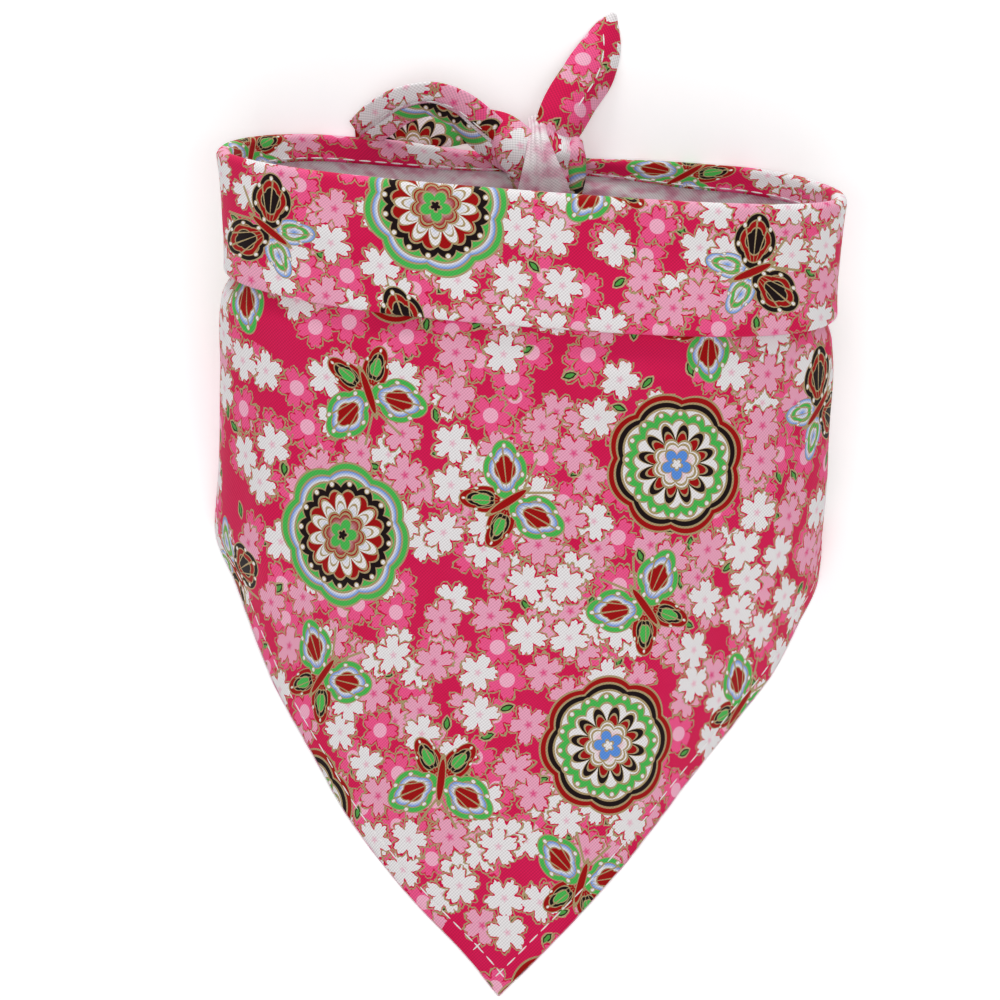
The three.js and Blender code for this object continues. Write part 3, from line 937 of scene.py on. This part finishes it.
LEFT_TIP = [
    (-53, 112.2, 1.4, 8, 0, 0.4),
    (-44, 113, 1.8, 8.4, 4, 0.8),
    (-34, 112.8, 1.8, 8.6, 4, 0.6),
    (-25, 111.6, 1.5, 6.5, 2, 0.4),
    (-18, 110.4, 1.2, 1.5, 0, 0.2),
]
KNOT_LEFT = [
    (-15, 114.5, 11, 9, 10, 1.5),
    (-9, 111.5, 16, 12, 0, 2.5),
    (-3.5, 106.5, 19.5, 13, -5, 3),
    (0.5, 101, 19, 11, -5, 2.5),
    (3, 96, 14, 7, 0, 1),
]
KNOT_WRAP = [
    (1.6, 117, 6, 5, 0, 0.8),
    (1.9, 113.5, 15, 5, 0, 1.2),
    (2.3, 108.5, 21.5, 7, 0, 2),
    (3.0, 102, 23.4, 10.5, 0, 2.2),
    (3.6, 95.5, 21, 14.5, 0, 2.2),
    (4.0, 90, 14, 18, 0, 1.4),
    (4.2, 87, 8, 20, 0, 1),
]
KNOT_RIGHT = [
    (13.5, 110, 12, 4, 0, 2),
    (13.2, 105, 16, 6, 4, 3),
    (13.0, 99, 16, 6.5, 6, 3.2),
    (12.4, 92, 12, 5, 0, 2),
]
# Creases of the wrap: place across and width, as shares of its half width, and depth.
CREASES = [(-0.25, 0.16, 1.1), (0.3, 0.12, 0.8), (0.7, 0.12, 0.6)]


# %% A place on a strap
def rail_value(table, column, at):
    """A column of a strap's table at a share of its length."""
    where = STRAP_COLUMNS.index(column)
    return float(table_value(np.linspace(0, 1, len(table)), [row[where] for row in table], at))


def strap_row(table, at):
    """A strap's middle, ways across and up, half width and crown, at a share of its length."""
    step = 1e-3
    middle, before, after = (
        Vector([rail_value(table, axis, min(max(place, 0), 1)) for axis in "xyz"])
        for place in (at, at - step, at + step)
    )
    ahead = (after - before).normalized()
    over = ahead.cross(Vector((0, 0, 1))).normalized()
    over.rotate(Matrix.Rotation(math.radians(rail_value(table, "turn", at)), 3, ahead))
    half, crown = rail_value(table, "width", at) / 2, rail_value(table, "crown", at)
    return middle, over, over.cross(ahead).normalized(), half, crown


def strap_place(row, side, way, lift, creases=()):
    """The place in millimetres at a distance from a strap's middle line."""
    middle, over, out, half, crown = row
    share = side * way / half
    height = crown * (0.5 - min(share * share, 1.2)) + lift
    for middle_share, width, depth in creases:
        height -= depth * math.exp(-(((share - middle_share) / width) ** 2))
    place = middle + over * (side * way) + out * height
    place.z = max(place.z, CLOTH / 2)
    return place


# %% One strap
def make_strap(name, table, columns, rows, printed_up=True, hem=HEM, creases=(), print_at=(0, 0)):
    """A strap along a table of places, printed side up or down, hemmed unless its hem is 0."""
    across = hemmed_columns(columns)
    if not hem:
        across = [column for column in across if column[1] == "main"]
    ups = 1 if printed_up else -1
    places, print_map, length = [], [], 0.0
    for i in range(rows + 1):
        at_row = strap_row(table, i / rows)
        middle, half = at_row[0], at_row[3]
        length += (middle - before).length if i else 0
        before = middle
        row, marks = [], []
        for column in across:
            side, way, lift, ink = across_cloth(column, half, min(hem, HEM_MOST * half))
            row.append(strap_place(at_row, side, way, -ups * lift, creases))
            marks.append((print_at[0] + side * ink, print_at[1] - length))
        places.append(row)
        print_map.append(marks)
    strap = grid_mesh(places, print_map, name, flip=printed_up)
    print(name, "is", round(length), "mm long")
    return give_thickness(strap, CLOTH)


# %% All the straps
straps = [
    make_strap("right_end", RIGHT_END, 18, 54, print_at=(40, 12)),
    make_strap("left_end", LEFT_END, 18, 64, printed_up=False, print_at=(95, 40)),
    make_strap("left_tip", LEFT_TIP, 12, 30, print_at=(150, -30)),
    make_strap("knot_left", KNOT_LEFT, 16, 36, hem=2.5, print_at=(12, 60)),
    make_strap("knot_wrap", KNOT_WRAP, 40, 44, printed_up=False, hem=0, creases=CREASES),
    make_strap("knot_right", KNOT_RIGHT, 14, 30, hem=0, print_at=(70, -50)),
]

# %% [markdown]
# ## Body of the knot
# Under its wrap the knot is a lump of bunched cloth. A sphere squeezed to the knot's size, with
# furrows where the layers bunch, fills it.

# %% Knot core
FURROW_COUNT = 7
FURROW_DEPTH = 0.06
CORE_PRINT_AT = 30
KNOT_FILL = 0.9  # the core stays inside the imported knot, under the straps


def make_knot_core():
    shape = bmesh.new()
    bmesh.ops.create_uvsphere(shape, u_segments=48, v_segments=32, radius=1)
    cloth_map = shape.loops.layers.uv.new(CLOTH_MAP)
    middle = Vector((KNOT["x"], KNOT["y"], KNOT["z"]))
    size = Vector((KNOT["wide"], KNOT["deep"], KNOT["high"])) * KNOT_FILL / 2
    for vertex in shape.verts:
        x, y, z = vertex.co
        furrow = math.cos(FURROW_COUNT * math.atan2(z, y) + 2 * x)
        bulge = 1 - FURROW_DEPTH * (1 + furrow)
        place = middle + Vector((x * size.x, y * size.y, z * size.z)) * bulge
        place.z = max(place.z, CLOTH / 2)
        vertex.co = place * MM
    for face in shape.faces:
        for loop in face.loops:
            place = loop.vert.co / MM
            loop[cloth_map].uv = (place.x + CORE_PRINT_AT, place.y + place.z)
    core = finished(shape, "knot_core")
    core.data.materials.append(FACE)
    return core


knot_core = make_knot_core()
print("knot core:", len(knot_core.data.polygons), "faces")

# %% [markdown]
# ## Stitches
# White thread holds every hem in running stitches of about 4 mm, which cross at the tip, and a
# small cross of back-stitching locks them. A real stitch is a bit of thread pulled into the cloth,
# so each is a small flattened capsule, a few dozen faces, half sunk in.

# %% Sizes of the stitches
STITCH_LENGTH = 3.8
STITCH_PITCH = 4.8
STITCH_WIDTH = 0.5
STITCH_HEIGHT = 0.34
STITCH_INSET = 5.0
EDGE_STITCH_LEVEL = 83.3
STITCH_LIFT = 0.06  # how far a stitch's middle lies above the cloth's own surface
STITCHES_TOP = CUFF_LOW + 14  # bib stitches above this level are hidden deep under the cuff
STEP = 0.5  # a short way along the cloth, to find which way is up
PAST_CROSSING = 0.6  # a line of stitches runs on past the middle until the cloth is this narrow
HEM_FULL = 0.8  # where the tip makes the hem narrower than usual, it still has this share
TACK_LEVEL = -134.4
TACK_SPAN = 1.5
TACK_INSET = STITCH_INSET * 1.4  # the tip's edges slant, so the hem is that much wider in a row
TACK_LIFT = 0.1


# %% Stitches in a row
def stitch_along(shape, places):
    """Adds stitches to a shape along a line of places, in mm, each with its way up."""
    line, ups = zip(*places)
    steps = [0.0]
    for a, b in zip(line, line[1:]):
        steps.append(steps[-1] + (b - a).length)

    def between(values, at):
        return Vector([np.interp(at, steps, [value[k] for value in values]) for k in range(3)])

    count = int(steps[-1] // STITCH_PITCH)
    for i in range(count):
        middle = (i + 0.5) * steps[-1] / count
        start, end = middle - STITCH_LENGTH / 2, middle + STITCH_LENGTH / 2
        add_stitch(shape, between(line, start), between(line, end), between(ups, middle))


# %% One stitch
def make_stitch():
    """One stitch along X, a small flattened capsule of a few dozen faces."""
    shape = bmesh.new()
    bmesh.ops.create_uvsphere(
        shape, u_segments=7, v_segments=6, radius=1, matrix=Matrix.Rotation(math.pi / 2, 4, "Y")
    )
    size = Vector((STITCH_LENGTH, STITCH_WIDTH, STITCH_HEIGHT)) / 2
    bmesh.ops.scale(shape, vec=size, verts=shape.verts)
    return mesh_of(shape, "stitch")


STITCH = make_stitch()


def add_stitch(shape, one, other, up):
    """Adds one stitch between two places."""
    along = (other - one).normalized()
    across = up.cross(along).normalized()
    up = along.cross(across)
    turn = Matrix((along, across, up)).transposed().to_4x4()
    laid = STITCH.copy()
    laid.transform(Matrix.Translation((one + other) / 2 * MM) @ turn @ Matrix.Scale(MM, 4))
    shape.from_mesh(laid)
    bpy.data.meshes.remove(laid)


# %% Lines to sew along
def past_middle(section, level, off, side, way, to_knot):
    """As lay, but a way below 0 runs on past the middle line."""
    return lay(section, level, off, side if way > 0 else -side, abs(way), 0, to_knot)


def hem_line(side, lift):
    """The line of a bib hem's stitches on one side, with the ways up out of the cloth."""
    rows = [row for row in ROWS if row[3] and row[1] < STITCHES_TOP]
    for (length, level, off, hemmed), ahead in zip(rows, rows[1:]):
        section, sides = row_of_cloth(level, hemmed)
        reach, hem, to_knot = sides[side]
        next_reach = row_of_cloth(ahead[1], hemmed)[1][side][0]
        slope = (next_reach - reach) / max(ahead[0] - length, 1e-6)
        inset = STITCH_INSET * math.hypot(1, slope)
        past_tip, in_knot = reach < PAST_CROSSING * inset, hem < min(HEM - 1, HEM_FULL * reach)
        if past_tip or in_knot:
            continue
        way = reach - inset  # below 0 past the middle, where the two hems' stitches cross
        here, inner, outer = (
            past_middle(section, level, off, side, way + step, to_knot) for step in (0, -STEP, STEP)
        )
        below = past_middle(section_at(level - STEP), level - STEP, off, side, way, to_knot)
        up = (below - here).cross(outer - inner).normalized() * side
        yield here + up * lift, up


def edge_line(lift):
    """The line of stitches along the turned-in long edge."""
    section = section_at(EDGE_STITCH_LEVEL)
    for share in np.linspace(-1, 1, 161)[2:-2]:
        side = -1 if share < 0 else 1
        to_knot = knot_way(section, side)
        way = abs(share) * to_knot
        here = lay(section, EDGE_STITCH_LEVEL, 0, side, way, 0, to_knot)
        inside = lay(section, EDGE_STITCH_LEVEL, -1, side, way, 0, to_knot)
        up = (inside - here).normalized()
        yield here + up * lift, up


def strap_line(table, inset, lift, first, last):
    """A line of stitches at a distance from the right edge of a strap."""
    for at in np.linspace(first, last, 40):
        row = strap_row(table, at)
        yield strap_place(row, 1, row[3] - inset, lift), row[2]


# %% The cross of back-stitching
def tack(shape):
    """A small cross of back-stitching on the left hem, just above the tip."""
    section, sides = row_of_cloth(TACK_LEVEL, True)
    way = sides[-1][0] - TACK_INSET
    for first, last in ((-1, 1), (1, -1)):
        ends = [
            lay(section, TACK_LEVEL + step * TACK_SPAN, 0, -1, way + turn * TACK_SPAN, 0, math.inf)
            for step, turn in ((-1, first), (1, last))
        ]
        raised = (end + Vector((0, 0, FACE_LIFT + TACK_LIFT)) for end in ends)
        add_stitch(shape, *raised, Vector((0, 0, 1)))


# %% Sewing
FACE_LIFT = CLOTH / 2 + STITCH_LIFT
HEM_LIFT_OUT = 2 * HEM_FOLD + CLOTH / 2 + STITCH_LIFT
threads = bmesh.new()
for side in (-1, 1):
    stitch_along(threads, hem_line(side, FACE_LIFT))
    stitch_along(threads, hem_line(side, -HEM_LIFT_OUT))
stitch_along(threads, edge_line(FACE_LIFT))
tack(threads)
stitch_along(threads, strap_line(RIGHT_END, 5.2, FACE_LIFT, 0.3, 0.8))
stitch_along(threads, strap_line(LEFT_END, 5.0, HEM_LIFT_OUT, 0.25, 0.85))
stitches = finished(threads, "stitches")
stitches.data.materials.append(THREAD)
print("stitches:", len(stitches.data.polygons), "faces")

# %% [markdown]
# ## Floor and light
# The photograph has a white ground with hardly a shadow. A pale matt board lies just under the
# cloth and glows a little, which lifts it to white without a hard lamp. A wide soft light stands
# over the bib, and a small one behind the knot picks out the roll of the cuff.

# %% Floor
FLOOR_SIZE = 4
FLOOR_DROP = 0.2 * MM
FLOOR_GLOW = 0.3
floor_shape = bmesh.new()
bmesh.ops.create_grid(floor_shape, x_segments=1, y_segments=1, size=FLOOR_SIZE)
floor = finished(floor_shape, "floor")
floor.data.transform(Matrix.Translation((0, 0, -FLOOR_DROP)))
# Board with a matt white paint: no gloss, and bright enough to vanish behind the cloth.
floor_values = {"Base Color": linear("#F6F6F6"), "Roughness": 0.9}
floor_values |= {"Emission Color": linear("#FFFFFF"), "Emission Strength": FLOOR_GLOW}
floor.data.materials.append(new_material("matt white board", floor_values)[0])

# %% Lights and world
WORLD_LIGHT = 0.42
# Area lights: place, the point they face, width and power.
LIGHTS = [
    ("back", (-0.1, 1.4, 0.3), (0, 0.05, 0.03), 0.5, 8),
    ("fill", (0.0, -0.5, 1.85), (0, 0, 0), 1.8, 20.5),
]
for name, place, towards, width, power in LIGHTS:
    data = bpy.data.lights.new(name, "AREA")
    data.size = width
    data.energy = power
    light = bpy.data.objects.new(name, data)
    light.location = place
    light.rotation_euler = (Vector(towards) - Vector(place)).to_track_quat("-Z", "Y").to_euler()
    light.visible_camera = False
    bpy.context.scene.collection.objects.link(light)

world = bpy.data.worlds.new("studio")
world.use_nodes = True
backdrop = world.node_tree.nodes["Background"].inputs
backdrop["Color"].default_value = linear("#F2F2F2")
backdrop["Strength"].default_value = WORLD_LIGHT
bpy.context.scene.world = world
bpy.context.scene.view_settings.view_transform = "Standard"
bpy.context.scene.cycles.diffuse_bounces = 2
print("lights:", len(LIGHTS))

# %% [markdown]
# ## Bodies
# Cloth has no joints, so every piece rides on the one body of the imported model. The laid cloth
# stands for the imported solid, which is hidden.

# %% Ride, and the imported solid hidden
for piece in (main_cloth, knot_core, stitches, *straps):
    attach(piece, "root")
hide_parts("bandana")
